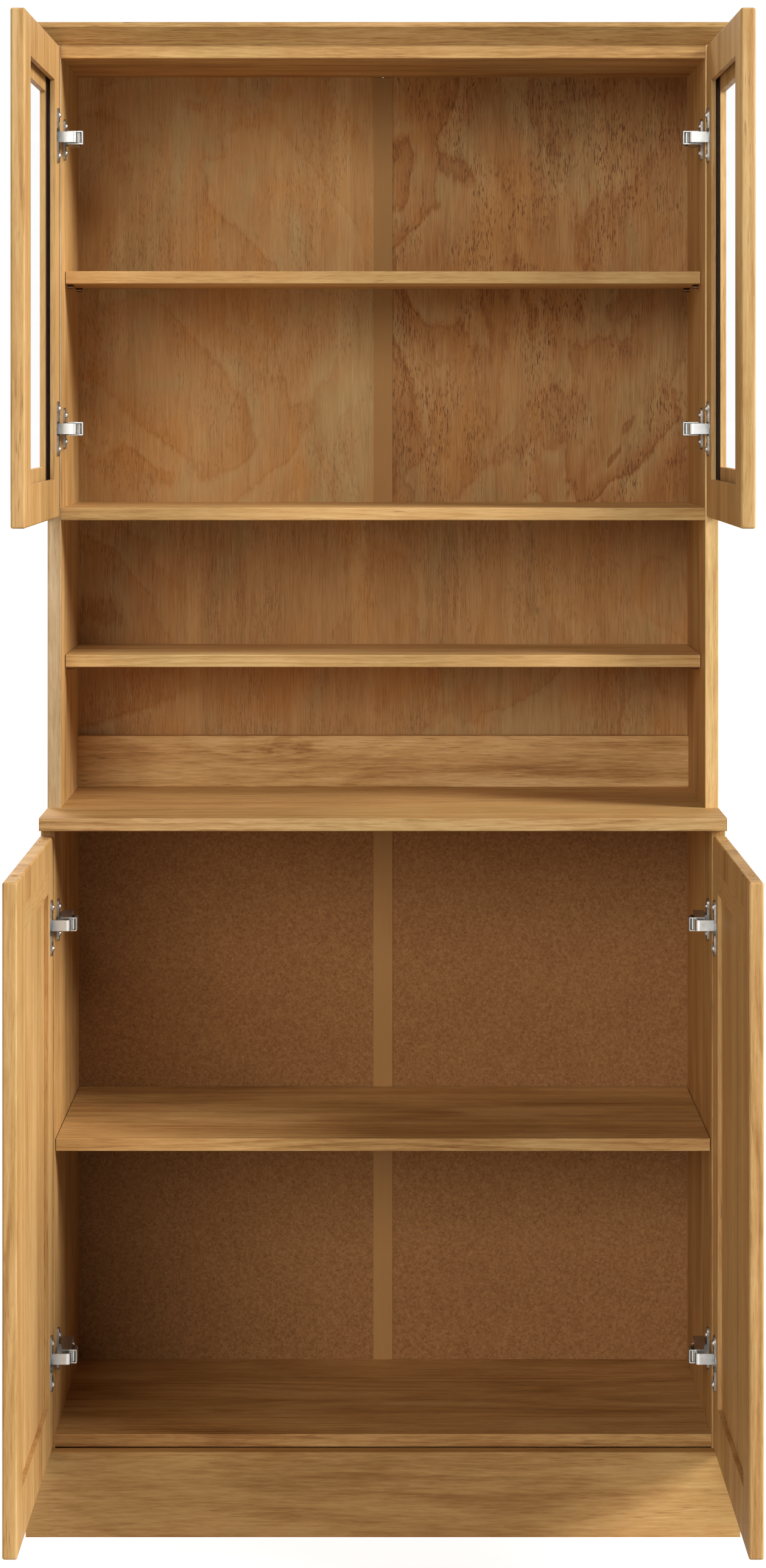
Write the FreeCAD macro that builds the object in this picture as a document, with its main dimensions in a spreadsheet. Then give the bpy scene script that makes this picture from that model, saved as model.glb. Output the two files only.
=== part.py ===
import FreeCAD, Part
import os
import re

import Sketcher

# Kitchen buffet: a glazed hutch on a base cupboard, with four hinged doors.
# X runs to the right, Y to the back and Z up. The origin lies on the floor, at mid
# width and at mid thickness of the plinth's front board. All sizes are millimetres.

SIZES = {
    # Base cupboard
    "body_width": 800,
    "side_board": 16,
    "shelf_board": 15,
    "countertop_board": 15,
    "base_depth": 331,
    "base_height": 823,
    "countertop_lip": 24,
    "bottom_set_back": 4.5,
    "base_shelf_set_back": 11,
    "base_shelf_lift": 329.7,
    # Hutch
    "hutch_depth": 249,
    "open_shelf_lift": 164,
    "open_bay_height": 343,
    "upper_shelf_lift": 269,
    "glazed_bay_height": 536,
    "hutch_shelf_set_back": 51,
    "back_rail_height": 64.5,
    "back_rail_board": 16,
    # Plinth and crown
    "plinth_board": 16,
    "plinth_height": 99,
    "crown_gap": 1.5,
    "crown_height": 24.5,
    "crown_band": 5.5,
    "crown_reach": 20,
    "crown_toe": 1.5,
    "crown_lap": 19.5,
    "crown_tongue": 12,
    "plinth_cleat": 20,
    "plinth_cleat_height": 40,
    "plinth_groove": 2.5,
    # Back panels and the strip that joins them
    "rebate_width": 8,
    "rebate_depth": 6,
    "back_panel": 4,
    "panel_play": 0.4,
    "strip_width": 24,
    "strip_flange": 1.5,
    "strip_web": 1.2,
    # Loose shelves and their pegs
    "shelf_end_gap": 1,
    "shelf_back_gap": 0.5,
    "peg_radius": 2.5,
    "peg_length": 17,
    "peg_in_side": 9,
    "peg_inset": 35,
    "peg_tip": 0.6,
    "seat_gap": 0.1,
    # Dowels
    "dowel_radius": 4,
    "dowel_length": 30,
    "dowel_tip": 1,
    "dowel_in_side": 10,
    "dowel_in_top": 6,
    "dowel_inset": 50,
    "bore_play": 0.05,
    "bore_end_gap": 0.5,
    # Doors
    "door_board": 16,
    "door_reveal": 0.5,
    "door_centre_gap": 2.5,
    "door_gap": 2,
    "door_round": 2.5,
    "lower_door_lift": 1.5,
    "lower_door_drop": 8,
    "upper_door_overlay": 11.2,
    "upper_door_drop": 1.7,
    "lower_stile": 56,
    "lower_rail": 60,
    "lower_outer_layer": 4.6,
    "lower_groove": 6.6,
    "lower_groove_depth": 9,
    "lower_pane": 6.2,
    "upper_stile": 60,
    "upper_rail": 46,
    "upper_lip": 15,
    "upper_outer_layer": 6.7,
    "upper_groove": 3.6,
    "upper_groove_depth": 6,
    "upper_pane": 3,
    "pane_gap": 0.5,
    "tongue_play": 0.1,
    "tongue_inset": 4,
    # Concealed hinges: places are measured from the hinge pin, with the door closed
    "hinge_inset": 105.4,
    "lower_hinge_drop": 103.7,
    "upper_hinge_drop": 109.3,
    "axis_from_edge": 6.75,
    "axis_in_door": 7.25,
    "cup_radius": 17.5,
    "cup_depth": 12,
    "cup_wall": 0.8,
    "cup_tab": 3,
    "cup_rim": 0.6,
    "cup_play": 0.1,
    "wing_plate": 2.2,
    "wing_width": 17,
    "wing_length": 65,
    "wing_offset": 6,
    "wing_round": 7.5,
    "wing_screw_spacing": 48,
    "cheek_gap": 0.35,
    "cheek_thickness": 2,
    "cheek_back": 1.8,
    "cheek_front": 3.6,
    "pin_radius": 1,
    "pin_play": 0.05,
    "pin_end_gap": 0.1,
    "link_plate": 2.5,
    "link_height": 12.5,
    "link_neck_height": 10.5,
    "link_neck_length": 5.4,
    "link_low": 2.1,
    "link_bend_reach": 28.7,
    "link_reach": 31.3,
    "link_jog_start": 0.9,
    "link_jog_end": 3.4,
    "link_tail": 19.5,
    "link_bend": 5,
    "knuckle_radius": 1.9,
    "eye_radius": 2.6,
    "rivet_radius": 1.5,
    "rivet_head_radius": 2.6,
    "rivet_head": 0.9,
    "rivet_front": 4.7,
    "rivet_pitch": 7.5,
    "arm_front_gap": 0.6,
    "arm_length": 61.4,
    "arm_height": 16,
    "arm_wall": 1.4,
    "arm_round": 0.9,
    "arm_top_front": 34.8,
    "arm_top_back": 25.8,
    "arm_foot_front": 16.5,
    "arm_foot_back": 13.15,
    "arm_crank_start": 16,
    "arm_crank_end": 30,
    "plate_line": 37,
    "plate_wing": 2.5,
    "plate_wing_width": 12,
    "plate_wing_length": 50,
    "plate_wing_round": 5.5,
    "plate_screw_spacing": 32,
    "saddle_play": 0.4,
    "saddle_seat": 0.3,
    "saddle_front": 32,
    "saddle_length": 28,
    "arm_screw_front": 37,
    "arm_screw_pitch": 15,
    # Screws
    "screw_radius": 1.75,
    "screw_head_radius": 3.5,
    "screw_head": 2,
    "screw_length": 12,
    "screw_point": 2,
    # Shared by all pieces
    "arris": 1.2,
    "cut_over": 1,
}

PLACES = {
    "half_width": "body_width / 2",
    "inner_half": "half_width - side_board",
    "base_front": "plinth_board / 2",
    "back_plane": "base_front + base_depth",
    "hutch_front": "back_plane - hutch_depth",
    "panel_front": "back_plane - rebate_depth",
    "loose_back": "panel_front - strip_flange - shelf_back_gap",
    "countertop_front": "base_front - countertop_lip",
    "countertop_top": "base_height + countertop_board",
    "bottom_front": "base_front + bottom_set_back",
    "bottom_top": "plinth_height + shelf_board",
    "base_shelf_front": "base_front + base_shelf_set_back",
    "hutch_shelf_front": "hutch_front + hutch_shelf_set_back",
    "base_shelf_foot": "bottom_top + base_shelf_lift",
    "open_shelf_foot": "countertop_top + open_shelf_lift",
    "mid_shelf_foot": "countertop_top + open_bay_height",
    "mid_shelf_top": "mid_shelf_foot + shelf_board",
    "upper_shelf_foot": "mid_shelf_top + upper_shelf_lift",
    "top_panel_foot": "mid_shelf_top + glazed_bay_height",
    "mid_shelf_middle": "mid_shelf_foot + shelf_board / 2",
    "top_panel_top": "top_panel_foot + shelf_board",
    "crown_foot": "top_panel_top + crown_gap",
    "hutch_side_height": "crown_foot + crown_lap - countertop_top",
    "crown_half": "half_width + crown_reach",
    "plinth_half": "half_width + plinth_board",
    "plinth_front": "-plinth_board / 2",
    "upper_back_foot": "mid_shelf_middle + panel_play",
    "lower_back_top": "mid_shelf_middle - panel_play",
    "hutch_strip_foot": "mid_shelf_top + seat_gap",
    "hutch_strip_top": "top_panel_foot - panel_play",
    "base_strip_foot": "bottom_top + seat_gap",
    "base_strip_top": "base_height - panel_play",
    "panel_edge": "inner_half + rebate_width - panel_play",
    "panel_inner_edge": "strip_web / 2 + panel_play",
    "base_board_depth": "panel_front - bottom_front",
    "hutch_board_depth": "panel_front - hutch_front",
    "dowel_depth": "dowel_in_side + bore_end_gap",
    "dowel_in_panel": "dowel_length - dowel_in_side",
    "panel_dowel_depth": "dowel_in_panel + bore_end_gap",
    "top_dowel_depth": "dowel_in_top + bore_end_gap",
    "edge_dowel_depth": "dowel_length - dowel_in_top + bore_end_gap",
    "dowel_back": "panel_front - dowel_inset",
    "base_dowel_front": "bottom_front + dowel_inset",
    "hutch_dowel_front": "hutch_front + dowel_inset",
    "dowel_bore": "dowel_radius + bore_play",
    "peg_bore": "peg_radius + bore_play",
    "peg_depth": "peg_in_side + bore_end_gap",
    "peg_drop": "peg_radius + seat_gap",
    "peg_middle": "inner_half + peg_in_side - peg_length / 2",
    "dowel_middle": "inner_half + dowel_in_side - dowel_length / 2",
    "side_middle": "half_width - side_board / 2",
    "screw_bore": "screw_radius + bore_play",
    "screw_depth": "screw_length + bore_end_gap",
    # Doors
    "door_width": "half_width - door_reveal - door_centre_gap / 2",
    "lower_door_foot": "plinth_height + lower_door_lift",
    "lower_door_top": "base_height - lower_door_drop",
    "lower_door_height": "lower_door_top - lower_door_foot",
    "upper_door_foot": "mid_shelf_top - upper_door_overlay",
    "upper_door_top": "crown_foot - upper_door_drop",
    "upper_door_height": "upper_door_top - upper_door_foot",
    "axis_x": "half_width - door_reveal - axis_from_edge",
    "axis_forward": "axis_in_door + door_gap",
    "lower_axis_y": "base_front - axis_forward",
    "upper_axis_y": "hutch_front - axis_forward",
    "door_outer_x": "axis_x + door_board - axis_in_door",
    "lower_hinge_low": "lower_door_foot + hinge_inset",
    "lower_hinge_high": "lower_door_top - lower_hinge_drop",
    "upper_hinge_low": "upper_door_foot + hinge_inset",
    "upper_hinge_high": "upper_door_top - upper_hinge_drop",
    # Hinge
    "side_face": "side_board - door_reveal - axis_from_edge",
    "cup_centre": "cup_tab + cup_radius - axis_from_edge",
    "cup_inner": "cup_radius - cup_wall",
    "cup_floor": "axis_in_door - cup_depth",
    "wing_top": "axis_in_door + wing_plate",
    "wing_line": "cup_centre + wing_offset",
    "cheek_inner": "link_neck_height / 2 + cheek_gap",
    "cheek_outer": "cheek_inner + cheek_thickness",
    "pin_half": "cheek_outer - pin_end_gap",
    "leg_middle": "link_reach - link_plate / 2",
    "arm_front": "axis_forward + arm_front_gap",
    "arm_back": "arm_front + arm_length",
    "rivet_line": "arm_front + rivet_front",
    "plate_middle": "axis_forward + plate_line",
    "saddle_top": "arm_top_back - arm_wall - saddle_seat",
    "saddle_start": "arm_front + saddle_front",
    "arm_screw_line": "arm_front + arm_screw_front",
}

QUARTER_TURN = 90
HALF_TURN = 180
FULL_TURN = 360
NEAR = 1e-4

AXES = {"X": FreeCAD.Vector(1, 0, 0), "Y": FreeCAD.Vector(0, 1, 0), "Z": FreeCAD.Vector(0, 0, 1)}

doc = FreeCAD.newDocument("kitchen_buffet")
sheet = doc.addObject("Spreadsheet::Sheet", "sizes")
for row, (alias, number) in enumerate(SIZES.items(), start=1):
    sheet.set(f"A{row}", str(number))
    sheet.setAlias(f"A{row}", alias)
doc.recompute()

subparts = []


def formula(text):
    """The text as a sheet expression: each name becomes its cell, each place its own formula."""

    def name_to_cell(match):
        word = match.group(0)
        if word in PLACES:
            return "(" + formula(PLACES[word]) + ")"
        if word in SIZES:
            return "sizes." + word
        return word

    return re.sub(r"[a-z_]+", name_to_cell, text)


def value(text):
    """The number that an expression gives with the sheet as it is."""
    return float(sheet.evalExpression(formula(text)))


def bind(item, path, text):
    """Tie one property of an object to the sheet."""
    item.setExpression(path, formula(text))


def place(item, at, rotation):
    """Turn an object and tie its place to the sheet."""
    item.Placement = FreeCAD.Placement(FreeCAD.Vector(), rotation)
    for axis, text in zip("xyz", at):
        if text != "0":
            bind(item, f"Placement.Base.{axis}", text)


def turned(*steps):
    """A rotation made of turns about single axes, the first step first."""
    rotation = FreeCAD.Rotation()
    for axis, angle in steps:
        rotation = FreeCAD.Rotation(AXES[axis], angle).multiply(rotation)
    return rotation


def new_body(label, at=("0", "0", "0"), rotation=FreeCAD.Rotation(), kept=True):
    """An empty body at its place; kept ones are sub-parts, the rest are patterns for copies."""
    body = doc.addObject("PartDesign::Body", label)
    body.Label = label
    place(body, at, rotation)
    if kept:
        subparts.append(body)
    return body


def new_sketch(body, role, lift="0"):
    """A sketch on one of the body's origin planes, lifted along the plane's normal."""
    sketch = body.newObject("Sketcher::SketchObject", f"{body.Label}_sketch")
    plane = next(item for item in body.Origin.OriginFeatures if item.Role == role)
    sketch.AttachmentSupport = (plane, [""])
    sketch.MapMode = "FlatFace"
    if lift != "0":
        bind(sketch, "AttachmentOffset.Base.z", lift)
    return sketch


def bind_point(sketch, curve, vertex, point):
    """Hold one vertex at a place measured from the sketch's origin."""
    for kind, text in zip(("DistanceX", "DistanceY"), point):
        if text == "0":
            across = -2 if kind == "DistanceX" else -1
            sketch.addConstraint(Sketcher.Constraint("PointOnObject", curve, vertex, across))
        else:
            held = Sketcher.Constraint(kind, -1, 1, curve, vertex, value(text))
            number = sketch.addConstraint(held)
            bind(sketch, f"Constraints[{number}]", text)


def add_outline(sketch, points):
    """A closed outline of straight lines through points given as pairs of expressions."""
    corners = [FreeCAD.Vector(value(x), value(y), 0) for x, y in points]
    first = sketch.GeometryCount
    count = len(points)
    for index in range(count):
        sketch.addGeometry(Part.LineSegment(corners[index], corners[(index + 1) % count]), False)
    for index in range(count):
        following = first + (index + 1) % count
        sketch.addConstraint(Sketcher.Constraint("Coincident", first + index, 2, following, 1))
    for index, point in enumerate(points):
        bind_point(sketch, first + index, 1, point)


def add_box(sketch, low, high):
    """A rectangle between two opposite corners."""
    add_outline(sketch, [low, (high[0], low[1]), high, (low[0], high[1])])


def add_circles(sketch, centres, radius):
    """Equal circles at the given centres."""
    for centre in centres:
        middle = FreeCAD.Vector(value(centre[0]), value(centre[1]), 0)
        curve = sketch.addGeometry(Part.Circle(middle, AXES["Z"], value(radius)), False)
        bind_point(sketch, curve, 3, centre)
        number = sketch.addConstraint(Sketcher.Constraint("Radius", curve, value(radius)))
        bind(sketch, f"Constraints[{number}]", radius)


def raise_pad(body, sketch, length, against=False):
    """Material along the sketch's normal, or against it."""
    pad = body.newObject("PartDesign::Pad", f"{body.Label}_pad")
    pad.Profile = sketch
    bind(pad, "Length", length)
    pad.Reversed = against
    doc.recompute()
    return pad


def sink_pocket(body, sketch, length, along=False):
    """A cut against the sketch's normal, or along it, that has to take material away."""
    before = body.Tip.Shape.Volume
    pocket = body.newObject("PartDesign::Pocket", f"{body.Label}_cut")
    pocket.Profile = sketch
    bind(pocket, "Length", length)
    pocket.Reversed = along
    doc.recompute()
    if pocket.Shape.Volume >= before:
        raise ValueError(f"{body.Label}: a cut takes nothing away")
    return pocket


def drill(body, role, lift, centres, radius, depth, along=False):
    """Round holes of one size, drilled from one plane."""
    sketch = new_sketch(body, role, lift)
    add_circles(sketch, centres, radius)
    return sink_pocket(body, sketch, depth, along)


def edges_on(shape, along, **sides):
    """Names of the straight edges along one axis that lie on the given sides of the shape's box."""
    box = shape.BoundBox
    limits = {
        "x": {"min": box.XMin, "max": box.XMax},
        "y": {"min": box.YMin, "max": box.YMax},
        "z": {"min": box.ZMin, "max": box.ZMax},
    }
    names = []
    for number, edge in enumerate(shape.Edges, start=1):
        run = edge.Vertexes[-1].Point - edge.Vertexes[0].Point
        if run.Length < NEAR or run.cross(AXES[along]).Length > NEAR:
            continue
        middle = edge.CenterOfMass
        if all(abs(getattr(middle, axis) - limits[axis][side]) < NEAR for axis, side in sides.items()):
            names.append(f"Edge{number}")
    return names


def edge_near(shape, point):
    """Name of the edge whose middle lies nearest to a point."""
    spot = FreeCAD.Vector(*(value(text) for text in point))
    distances = [(edge.CenterOfMass - spot).Length for edge in shape.Edges]
    return f"Edge{distances.index(min(distances)) + 1}"


def dress(body, kind, size_name, size, edges):
    """A fillet or chamfer of one size on the named edges of the body's last feature."""
    carrier = body.Tip
    feature = body.newObject(f"PartDesign::{kind}", f"{body.Label}_{kind.lower()}")
    feature.Base = (carrier, edges)
    bind(feature, size_name, size)
    doc.recompute()
    return feature


def round_edges(body, radius, edges):
    """Rounded edges."""
    return dress(body, "Fillet", "Radius", radius, edges)


def mirror(source, label):
    """The right-hand twin of a left-hand piece."""
    twin = doc.addObject("Part::Mirroring", label)
    twin.Label = label
    twin.Source = source
    twin.Base = FreeCAD.Vector()
    twin.Normal = AXES["X"]
    subparts.append(twin)
    return twin


def copies(label, pattern_places):
    """One sub-part made of equal pieces: each entry holds a pattern, a place and a rotation."""
    links = []
    for pattern, at, rotation in pattern_places:
        link = doc.addObject("App::Link", f"{label}_copy")
        link.LinkedObject = pattern
        place(link, at, rotation)
        links.append(link)
    group = doc.addObject("Part::Compound", label)
    group.Label = label
    group.Links = links
    subparts.append(group)
    return group


def board(label, low, size, front_round=True):
    """A plain board with its front edges eased: low corner and size along X, Y and Z."""
    body = new_body(label, low)
    sketch = new_sketch(body, "XY_Plane")
    add_box(sketch, ("0", "0"), (size[0], size[1]))
    pad = raise_pad(body, sketch, size[2])
    if front_round:
        edges = edges_on(pad.Shape, "X", y="min", z="min") + edges_on(pad.Shape, "X", y="min", z="max")
        round_edges(body, "arris", edges)
    return body


# Pegs, dowels and screws

def peg_pattern(label, radius, length, tip):
    """A round peg along Z, centred on its middle, with chamfered ends."""
    body = new_body(label, kept=False)
    sketch = new_sketch(body, "XY_Plane", f"-{length} / 2")
    add_circles(sketch, [("0", "0")], radius)
    pad = raise_pad(body, sketch, length)
    rims = [f"Edge{number}" for number, edge in enumerate(pad.Shape.Edges, start=1)
            if len(edge.Vertexes) == 1]
    dress(body, "Chamfer", "Size", tip, rims)
    return body


def turned_pattern(label, profile):
    """A turned piece about Z from a half profile of radius and height pairs."""
    body = new_body(label, kept=False)
    sketch = new_sketch(body, "XZ_Plane")
    add_outline(sketch, profile)
    form = body.newObject("PartDesign::Revolution", f"{label}_form")
    form.Profile = sketch
    form.ReferenceAxis = (sketch, ["V_Axis"])
    form.Angle = FULL_TURN
    doc.recompute()
    return body


shelf_peg = peg_pattern("shelf_peg_pattern", "peg_radius", "peg_length", "peg_tip")
dowel = peg_pattern("dowel_pattern", "dowel_radius", "dowel_length", "dowel_tip")
hinge_pin = peg_pattern("hinge_pin_pattern", "pin_radius", "pin_half * 2", "pin_end_gap")
screw = turned_pattern("screw_pattern", [
    ("0", "-screw_length"),
    ("screw_radius", "screw_point - screw_length"),
    ("screw_radius", "0"),
    ("screw_head_radius", "0"),
    ("screw_head_radius", "screw_head / 3"),
    ("screw_head_radius * 2 / 3", "screw_head"),
    ("0", "screw_head"),
])
rivet = turned_pattern("rivet_pattern", [
    ("0", "-arm_height / 2 - rivet_head"),
    ("rivet_head_radius / 2", "-arm_height / 2 - rivet_head"),
    ("rivet_head_radius", "-arm_height / 2"),
    ("rivet_radius", "-arm_height / 2"),
    ("rivet_radius", "arm_height / 2"),
    ("rivet_head_radius", "arm_height / 2"),
    ("rivet_head_radius / 2", "arm_height / 2 + rivet_head"),
    ("0", "arm_height / 2 + rivet_head"),
])


# Carcass: sides, fixed panels, loose shelves

def side_panel(label, front, foot, depth, height, pegs, dowels, hinge_screws, joint):
    """A left side with a rebate for the backs, and its holes for pegs, dowels and hinge screws.

    The joint with the countertop is given by its level, its front dowel and whether the holes run up.
    """
    body = new_body(label, ("-half_width", front, foot))
    sketch = new_sketch(body, "XY_Plane")
    add_outline(sketch, [
        ("0", "0"),
        ("side_board", "0"),
        ("side_board", f"{depth} - rebate_depth"),
        ("side_board - rebate_width", f"{depth} - rebate_depth"),
        ("side_board - rebate_width", depth),
        ("0", depth),
    ])
    pad = raise_pad(body, sketch, height)
    edges = edges_on(pad.Shape, "Z", x="min", y="min") + edges_on(pad.Shape, "Z", x="max", y="min")
    round_edges(body, "arris", edges)
    for rows, radius, hole in ((pegs, "peg_bore", "peg_depth"), (dowels, "dowel_bore", "dowel_depth"),
                               (hinge_screws, "screw_bore", "screw_depth - plate_wing")):
        centres = [(f"{y} - {front}", f"{z} - {foot}") for y, z in rows]
        drill(body, "YZ_Plane", "side_board", centres, radius, hole)
    level, front_dowel, upwards = joint
    centres = [("side_board / 2", f"{y} - {front}") for y in (front_dowel, "dowel_back")]
    drill(body, "XY_Plane", level, centres, "dowel_bore", "edge_dowel_depth", upwards)
    return body


def peg_places(front, foot):
    """Two peg places, depth and height, for a loose shelf."""
    depths = (f"{front} + peg_inset", "loose_back - peg_inset")
    return [(depth, f"{foot} - peg_drop") for depth in depths]


def hinge_screw_places(front, heights):
    """Two screw places, depth and height, for each hinge's mounting plate."""
    return [(f"{front} + plate_line", f"{height} {sign} plate_screw_spacing / 2")
            for height in heights for sign in "+-"]


def panel_dowel_places(front_dowel, foot):
    """Two dowel places, depth and height, at the end of a fixed panel."""
    return [(depth, f"{foot} + shelf_board / 2") for depth in (front_dowel, "dowel_back")]


base_pegs = peg_places("base_shelf_front", "base_shelf_foot")
hutch_pegs = peg_places("hutch_shelf_front", "open_shelf_foot")
hutch_pegs += peg_places("hutch_shelf_front", "upper_shelf_foot")
base_dowels = panel_dowel_places("base_dowel_front", "plinth_height")
hutch_dowels = panel_dowel_places("hutch_dowel_front", "mid_shelf_foot")
hutch_dowels += panel_dowel_places("hutch_dowel_front", "top_panel_foot")
LOWER_HINGES = ("lower_hinge_low", "lower_hinge_high")
UPPER_HINGES = ("upper_hinge_low", "upper_hinge_high")

base_side = side_panel(
    "base_side_left", "base_front", "0", "base_depth", "base_height",
    base_pegs, base_dowels, hinge_screw_places("base_front", LOWER_HINGES),
    ("base_height", "base_dowel_front", False))
mirror(base_side, "base_side_right")
hutch_side = side_panel(
    "hutch_side_left", "hutch_front", "countertop_top", "hutch_depth", "hutch_side_height",
    hutch_pegs, hutch_dowels, hinge_screw_places("hutch_front", UPPER_HINGES),
    ("0", "hutch_dowel_front", True))
mirror(hutch_side, "hutch_side_right")


def fixed_panel(label, front, foot, depth, front_dowel):
    """A panel between the sides, with dowel holes in both ends."""
    body = board(label, ("-inner_half", front, foot), ("inner_half * 2", depth, "shelf_board"))
    centres = [(f"{y} - {front}", "shelf_board / 2") for y in (front_dowel, "dowel_back")]
    drill(body, "YZ_Plane", "0", centres, "dowel_bore", "panel_dowel_depth", True)
    drill(body, "YZ_Plane", "inner_half * 2", centres, "dowel_bore", "panel_dowel_depth")
    return body


fixed_panel("base_bottom_panel", "bottom_front", "plinth_height", "base_board_depth", "base_dowel_front")
fixed_panel("hutch_mid_shelf", "hutch_front", "mid_shelf_foot", "hutch_board_depth", "hutch_dowel_front")
fixed_panel("hutch_top_panel", "hutch_front", "top_panel_foot", "hutch_board_depth", "hutch_dowel_front")


def loose_shelf(label, front, foot):
    """A shelf that lies on four pegs, with a small gap at each end."""
    low = ("shelf_end_gap - inner_half", front, foot)
    size = ("(inner_half - shelf_end_gap) * 2", f"loose_back - {front}", "shelf_board")
    return board(label, low, size)


loose_shelf("base_shelf", "base_shelf_front", "base_shelf_foot")
loose_shelf("hutch_open_shelf", "hutch_shelf_front", "open_shelf_foot")
loose_shelf("hutch_upper_shelf", "hutch_shelf_front", "upper_shelf_foot")

countertop = board(
    "countertop", ("-half_width", "countertop_front", "base_height"),
    ("body_width", "back_plane - countertop_front", "countertop_board"))
for lift, front_dowel, along in (("0", "base_dowel_front", True),
                                 ("countertop_board", "hutch_dowel_front", False)):
    centres = [(x, f"{y} - countertop_front") for x in ("side_board / 2", "body_width - side_board / 2")
               for y in (front_dowel, "dowel_back")]
    drill(countertop, "XY_Plane", lift, centres, "dowel_bore", "top_dowel_depth", along)

board("hutch_back_rail", ("-inner_half", "panel_front - back_rail_board", "countertop_top"),
      ("inner_half * 2", "back_rail_board", "back_rail_height"))


# Backs, and the strips that join their two halves

def back_sheet(label, left, right, foot, top):
    """A thin back panel between two places across and two heights."""
    size = (f"{right} - ({left})", "back_panel", f"{top} - ({foot})")
    return board(label, (left, "panel_front", foot), size, False)


def joining_strip(label, foot, top):
    """An H section that grips the inner edges of two back panels, between two heights."""
    body = new_body(label, ("0", "panel_front - strip_flange", foot))
    sketch = new_sketch(body, "XY_Plane")
    front = "strip_flange"
    rear = "strip_flange + back_panel"
    end = f"{rear} + strip_flange"
    half = [("strip_width / 2", "0"), ("strip_width / 2", front), ("strip_web / 2", front),
            ("strip_web / 2", rear), ("strip_width / 2", rear), ("strip_width / 2", end)]
    add_outline(sketch, half + [(f"-{across}", depth) for across, depth in reversed(half)])
    raise_pad(body, sketch, f"{top} - ({foot})")
    return body


mirror(back_sheet("hutch_back_left", "-panel_edge", "-panel_inner_edge", "upper_back_foot", "top_panel_top"),
       "hutch_back_right")
back_sheet("hutch_lower_back", "-panel_edge", "panel_edge", "countertop_top", "lower_back_top")
joining_strip("hutch_back_strip", "hutch_strip_foot", "hutch_strip_top")
mirror(back_sheet("base_back_left", "-panel_edge", "-panel_inner_edge", "plinth_height", "base_height"),
       "base_back_right")
joining_strip("base_back_strip", "base_strip_foot", "base_strip_top")


# Plinth and crown: front boards mitred into side boards

plinth = new_body("plinth_front", ("0", "plinth_front", "0"))
sketch = new_sketch(plinth, "XY_Plane")
add_outline(sketch, [("-plinth_half", "0"), ("plinth_half", "0"),
                     ("half_width", "plinth_board"), ("-half_width", "plinth_board")])
shape = raise_pad(plinth, sketch, "plinth_height").Shape
round_edges(plinth, "arris", edges_on(shape, "X", y="min", z="max"))
cleat = new_sketch(plinth, "XY_Plane", "plinth_height - plinth_groove - plinth_cleat_height")
add_box(cleat, ("panel_play - inner_half", "plinth_board"),
        ("inner_half - panel_play", "plinth_board + plinth_cleat"))
raise_pad(plinth, cleat, "plinth_cleat_height")

plinth_side = new_body("plinth_left", ("0", "plinth_front", "0"))
sketch = new_sketch(plinth_side, "XY_Plane")
depth = "back_plane - plinth_front"
add_outline(sketch, [("-plinth_half", "0"), ("-half_width", "plinth_board"),
                     ("-half_width", depth), ("-plinth_half", depth)])
shape = raise_pad(plinth_side, sketch, "plinth_height").Shape
round_edges(plinth_side, "arris", edges_on(shape, "Y", x="min", z="max"))
mirror(plinth_side, "plinth_right")


def crown_profile(face):
    """The crown's section, leaning outwards from a face at the given place to its upright band."""
    return [(face, "0"), (f"{face} - crown_toe", "0"),
            (f"{face} - crown_reach", "crown_height - crown_band"),
            (f"{face} - crown_reach", "crown_height"), (face, "crown_height")]


def cut_mitre(body, corners):
    """Cut a crown piece's end to 45 degrees with a triangle seen from above."""
    sketch = new_sketch(body, "XY_Plane", "-cut_over")
    add_outline(sketch, corners)
    sink_pocket(body, sketch, "crown_height + cut_over * 2", True)


crown = new_body("crown_front", ("0", "hutch_front", "crown_foot"))
sketch = new_sketch(crown, "YZ_Plane", "-crown_half")
add_outline(sketch, crown_profile("0"))
raise_pad(crown, sketch, "crown_half * 2")
for sign in ("", "-"):
    cut_mitre(crown, [(f"{sign}(half_width - cut_over)", "cut_over"),
                      (f"{sign}(crown_half + cut_over)", "cut_over"),
                      (f"{sign}(crown_half + cut_over)", "-crown_reach - cut_over")])

tongue = new_sketch(crown, "XY_Plane", "-crown_gap")
add_box(tongue, ("panel_play - inner_half", "0"), ("inner_half - panel_play", "crown_tongue"))
raise_pad(crown, tongue, "crown_height + crown_gap")

crown_side = new_body("crown_left", ("0", "hutch_front", "crown_foot"))
sketch = new_sketch(crown_side, "XZ_Plane", "crown_reach")
add_outline(sketch, crown_profile("-half_width"))
raise_pad(crown_side, sketch, "crown_reach + hutch_depth", True)
cut_mitre(crown_side, [("cut_over - half_width", "cut_over"),
                       ("-crown_half - cut_over", "-crown_reach - cut_over"),
                       ("cut_over - half_width", "-crown_reach - cut_over")])
mirror(crown_side, "crown_right")


# Doors: each left door is drawn closed, from the outer lower corner of its hinge edge,
# and placed open at a right angle. Local x runs to the free edge, y to the inner face.

def door_body(label, row):
    """A body in the frame of the row's open left door."""
    at = ("-door_outer_x", f"{row}_axis_y + axis_from_edge", f"{row}_door_foot")
    return new_body(label, at, turned(("Z", -QUARTER_TURN)))


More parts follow.
